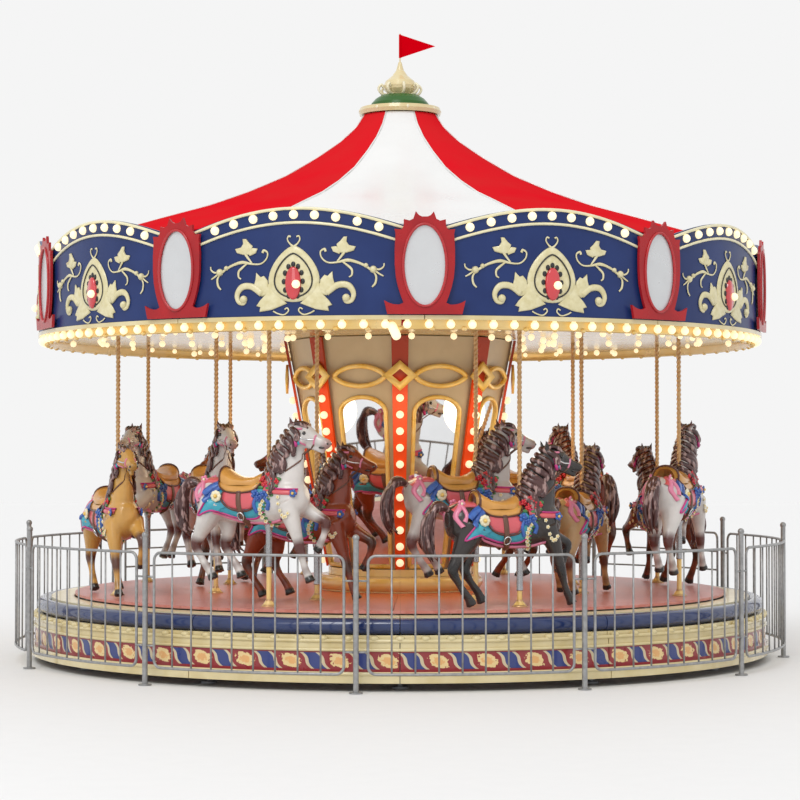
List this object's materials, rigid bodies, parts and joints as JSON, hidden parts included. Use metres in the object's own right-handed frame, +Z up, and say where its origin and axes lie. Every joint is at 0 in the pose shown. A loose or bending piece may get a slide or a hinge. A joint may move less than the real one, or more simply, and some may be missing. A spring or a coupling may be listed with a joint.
{
  "type": "merry-go-round",
  "caption": "Fairground merry-go-round: rising and falling horses on a turning deck under a striped canopy with lit rounding boards, inside a round barrier.",
  "frame": {"origin": "on the ground, at the centre of the turning axis", "axes": "+Z up the turning axis, -Y towards the front, +X to the right as seen from the front"},
  "size_m": [6.6688, 6.6688, 5.418],
  "materials": {
    "steel_frame": "satin",
    "galvanised": "satin",
    "cream_paint": "gloss",
    "red_band": "gloss",
    "navy": "gloss",
    "tread": "satin",
    "tyre": "matte",
    "deck": "brushed",
    "ceiling": "gloss",
    "shield": "gloss",
    "mirror": "polished",
    "canopy_red": "gloss",
    "canopy_white": "gloss",
    "dome_green": "gloss",
    "pennant": "matte",
    "rib_orange": "gloss",
    "gold": "polished",
    "horse_white": "gloss",
    "horse_black": "gloss",
    "horse_brown": "gloss",
    "horse_chestnut": "gloss",
    "horse_palomino": "gloss"
  },
  "bodies": {
    "base": {"ground_frame": "steel_frame", "levelling_feet": "steel_frame", "centre_mast": "steel_frame", "skirt_foot_rail": "cream_paint", "skirt_panels": "red_band", "skirt_moulding": "cream_paint", "step_nosing": "navy", "step_tread": "tread", "fence_posts": "galvanised", "fence_panels": "galvanised", "drive_motor": "steel_frame"},
    "turntable": {"deck_panels": "deck", "deck_frame": "steel_frame", "hub_sleeve": "steel_frame", "sweep_beams": "steel_frame", "crank_bearings": "steel_frame", "ceiling_panels": "ceiling", "cornice": "cream_paint", "rounding_boards": "navy", "shields": "shield", "shield_mirrors": "mirror", "canopy_red": "canopy_red", "canopy_white": "canopy_white", "canopy_collar": "cream_paint", "crown_dome": "dome_green", "finial": "cream_paint", "housing_panels": "ceiling", "housing_ribs": "rib_orange", "housing_mirrors": "mirror", "housing_plinth": "gold", "floor_posts": "gold"},
    "entry_gate_leaf": {"entry_gate": "galvanised"},
    "exit_gate_leaf": {"exit_gate": "galvanised"},
    "drive_wheel": {"drive_tyre": "tyre"},
    "flag": {"pennant": "pennant"},
    "crank_shaft_1": {"crank_1": "steel_frame"},
    "crank_shaft_2": {"crank_2": "steel_frame"},
    "crank_shaft_3": {"crank_3": "steel_frame"},
    "crank_shaft_4": {"crank_4": "steel_frame"},
    "crank_shaft_5": {"crank_5": "steel_frame"},
    "crank_shaft_6": {"crank_6": "steel_frame"},
    "crank_shaft_7": {"crank_7": "steel_frame"},
    "crank_shaft_8": {"crank_8": "steel_frame"},
    "outer_horse_1": {"horse_outer_1": "horse_black"},
    "outer_horse_2": {"horse_outer_2": "horse_white"},
    "outer_horse_3": {"horse_outer_3": "horse_brown"},
    "outer_horse_4": {"horse_outer_4": "horse_palomino"},
    "outer_horse_5": {"horse_outer_5": "horse_brown"},
    "outer_horse_6": {"horse_outer_6": "horse_white"},
    "outer_horse_7": {"horse_outer_7": "horse_palomino"},
    "outer_horse_8": {"horse_outer_8": "horse_white"},
    "inner_horse_1": {"horse_inner_1": "horse_white"},
    "inner_horse_2": {"horse_inner_2": "horse_palomino"},
    "inner_horse_3": {"horse_inner_3": "horse_chestnut"},
    "inner_horse_4": {"horse_inner_4": "horse_chestnut"},
    "inner_horse_5": {"horse_inner_5": "horse_brown"},
    "inner_horse_6": {"horse_inner_6": "horse_brown"},
    "inner_horse_7": {"horse_inner_7": "horse_white"},
    "inner_horse_8": {"horse_inner_8": "horse_chestnut"}
  },
  "joints": [
    {"name": "carousel_spin", "type": "hinge", "parent": "base", "child": "turntable", "pos_m": [0, 0, 0], "axis": [0, 0, 1], "continuous": true},
    {"name": "entry_gate_hinge", "type": "hinge", "parent": "base", "child": "entry_gate_leaf", "pos_m": [2.98568, 1.40559, 0.5], "axis": [0, 0, 1], "range_deg": [-95, 0]},
    {"name": "exit_gate_hinge", "type": "hinge", "parent": "base", "child": "exit_gate_leaf", "pos_m": [-2.65786, 1.95596, 0.5], "axis": [0, 0, 1], "range_deg": [0, 95]},
    {"name": "drive_wheel_spin", "type": "hinge", "parent": "base", "child": "drive_wheel", "pos_m": [0.55087, 0.1476, 0.35], "axis": [0, 0, 1], "continuous": true},
    {"name": "flag_swing", "type": "hinge", "parent": "turntable", "child": "flag", "pos_m": [0, 0, 5.3], "axis": [0, 0, 1], "continuous": true},
    {"name": "crank_spin_1", "type": "hinge", "parent": "turntable", "child": "crank_shaft_1", "pos_m": [0.36488, -0.93106, 2.9], "axis": [0.3649, -0.9311, 0], "continuous": true},
    {"name": "crank_spin_2", "type": "hinge", "parent": "turntable", "child": "crank_shaft_2", "pos_m": [0.91636, -0.40035, 2.9], "axis": [0.9164, -0.4003, 0], "continuous": true},
    {"name": "crank_spin_3", "type": "hinge", "parent": "turntable", "child": "crank_shaft_3", "pos_m": [0.93106, 0.36488, 2.9], "axis": [0.9311, 0.3649, 0], "continuous": true},
    {"name": "crank_spin_4", "type": "hinge", "parent": "turntable", "child": "crank_shaft_4", "pos_m": [0.40035, 0.91636, 2.9], "axis": [0.4003, 0.9164, 0], "continuous": true},
    {"name": "crank_spin_5", "type": "hinge", "parent": "turntable", "child": "crank_shaft_5", "pos_m": [-0.36488, 0.93106, 2.9], "axis": [-0.3649, 0.9311, 0], "continuous": true},
    {"name": "crank_spin_6", "type": "hinge", "parent": "turntable", "child": "crank_shaft_6", "pos_m": [-0.91636, 0.40035, 2.9], "axis": [-0.9164, 0.4003, 0], "continuous": true},
    {"name": "crank_spin_7", "type": "hinge", "parent": "turntable", "child": "crank_shaft_7", "pos_m": [-0.93106, -0.36488, 2.9], "axis": [-0.9311, -0.3649, 0], "continuous": true},
    {"name": "crank_spin_8", "type": "hinge", "parent": "turntable", "child": "crank_shaft_8", "pos_m": [-0.40035, -0.91636, 2.9], "axis": [-0.4003, -0.9164, 0], "continuous": true},
    {"name": "outer_gallop_1", "type": "slide", "parent": "turntable", "child": "outer_horse_1", "axis": [0, 0, 1], "range_m": [0, 0.18]},
    {"name": "outer_gallop_2", "type": "slide", "parent": "turntable", "child": "outer_horse_2", "axis": [0, 0, 1], "range_m": [-0.18, 0]},
    {"name": "outer_gallop_3", "type": "slide", "parent": "turntable", "child": "outer_horse_3", "axis": [0, 0, 1], "range_m": [0, 0.18]},
    {"name": "outer_gallop_4", "type": "slide", "parent": "turntable", "child": "outer_horse_4", "axis": [0, 0, 1], "range_m": [-0.18, 0]},
    {"name": "outer_gallop_5", "type": "slide", "parent": "turntable", "child": "outer_horse_5", "axis": [0, 0, 1], "range_m": [0, 0.18]},
    {"name": "outer_gallop_6", "type": "slide", "parent": "turntable", "child": "outer_horse_6", "axis": [0, 0, 1], "range_m": [-0.18, 0]},
    {"name": "outer_gallop_7", "type": "slide", "parent": "turntable", "child": "outer_horse_7", "axis": [0, 0, 1], "range_m": [0, 0.18]},
    {"name": "outer_gallop_8", "type": "slide", "parent": "turntable", "child": "outer_horse_8", "axis": [0, 0, 1], "range_m": [-0.18, 0]},
    {"name": "inner_gallop_1", "type": "slide", "parent": "turntable", "child": "inner_horse_1", "axis": [0, 0, 1], "range_m": [-0.18, 0]},
    {"name": "inner_gallop_2", "type": "slide", "parent": "turntable", "child": "inner_horse_2", "axis": [0, 0, 1], "range_m": [0, 0.18]},
    {"name": "inner_gallop_3", "type": "slide", "parent": "turntable", "child": "inner_horse_3", "axis": [0, 0, 1], "range_m": [-0.18, 0]},
    {"name": "inner_gallop_4", "type": "slide", "parent": "turntable", "child": "inner_horse_4", "axis": [0, 0, 1], "range_m": [0, 0.18]},
    {"name": "inner_gallop_5", "type": "slide", "parent": "turntable", "child": "inner_horse_5", "axis": [0, 0, 1], "range_m": [-0.18, 0]},
    {"name": "inner_gallop_6", "type": "slide", "parent": "turntable", "child": "inner_horse_6", "axis": [0, 0, 1], "range_m": [0, 0.18]},
    {"name": "inner_gallop_7", "type": "slide", "parent": "turntable", "child": "inner_horse_7", "axis": [0, 0, 1], "range_m": [-0.18, 0]},
    {"name": "inner_gallop_8", "type": "slide", "parent": "turntable", "child": "inner_horse_8", "axis": [0, 0, 1], "range_m": [0, 0.18]}
  ],
  "couplings": [
    {"joint": "drive_wheel_spin", "follows": "carousel_spin", "ratio": -3.75},
    {"joint": "crank_spin_1", "follows": "carousel_spin", "ratio": -4},
    {"joint": "crank_spin_2", "follows": "carousel_spin", "ratio": -4},
    {"joint": "crank_spin_3", "follows": "carousel_spin", "ratio": -4},
    {"joint": "crank_spin_4", "follows": "carousel_spin", "ratio": -4},
    {"joint": "crank_spin_5", "follows": "carousel_spin", "ratio": -4},
    {"joint": "crank_spin_6", "follows": "carousel_spin", "ratio": -4},
    {"joint": "crank_spin_7", "follows": "carousel_spin", "ratio": -4},
    {"joint": "crank_spin_8", "follows": "carousel_spin", "ratio": -4},
    {"joint": "outer_gallop_2", "follows": "outer_gallop_1", "ratio": -1},
    {"joint": "outer_gallop_3", "follows": "outer_gallop_1", "ratio": 1},
    {"joint": "outer_gallop_4", "follows": "outer_gallop_1", "ratio": -1},
    {"joint": "outer_gallop_5", "follows": "outer_gallop_1", "ratio": 1},
    {"joint": "outer_gallop_6", "follows": "outer_gallop_1", "ratio": -1},
    {"joint": "outer_gallop_7", "follows": "outer_gallop_1", "ratio": 1},
    {"joint": "outer_gallop_8", "follows": "outer_gallop_1", "ratio": -1},
    {"joint": "inner_gallop_1", "follows": "outer_gallop_1", "ratio": -1},
    {"joint": "inner_gallop_2", "follows": "outer_gallop_1", "ratio": 1},
    {"joint": "inner_gallop_3", "follows": "outer_gallop_1", "ratio": -1},
    {"joint": "inner_gallop_4", "follows": "outer_gallop_1", "ratio": 1},
    {"joint": "inner_gallop_5", "follows": "outer_gallop_1", "ratio": -1},
    {"joint": "inner_gallop_6", "follows": "outer_gallop_1", "ratio": 1},
    {"joint": "inner_gallop_7", "follows": "outer_gallop_1", "ratio": -1},
    {"joint": "inner_gallop_8", "follows": "outer_gallop_1", "ratio": 1}
  ]
}
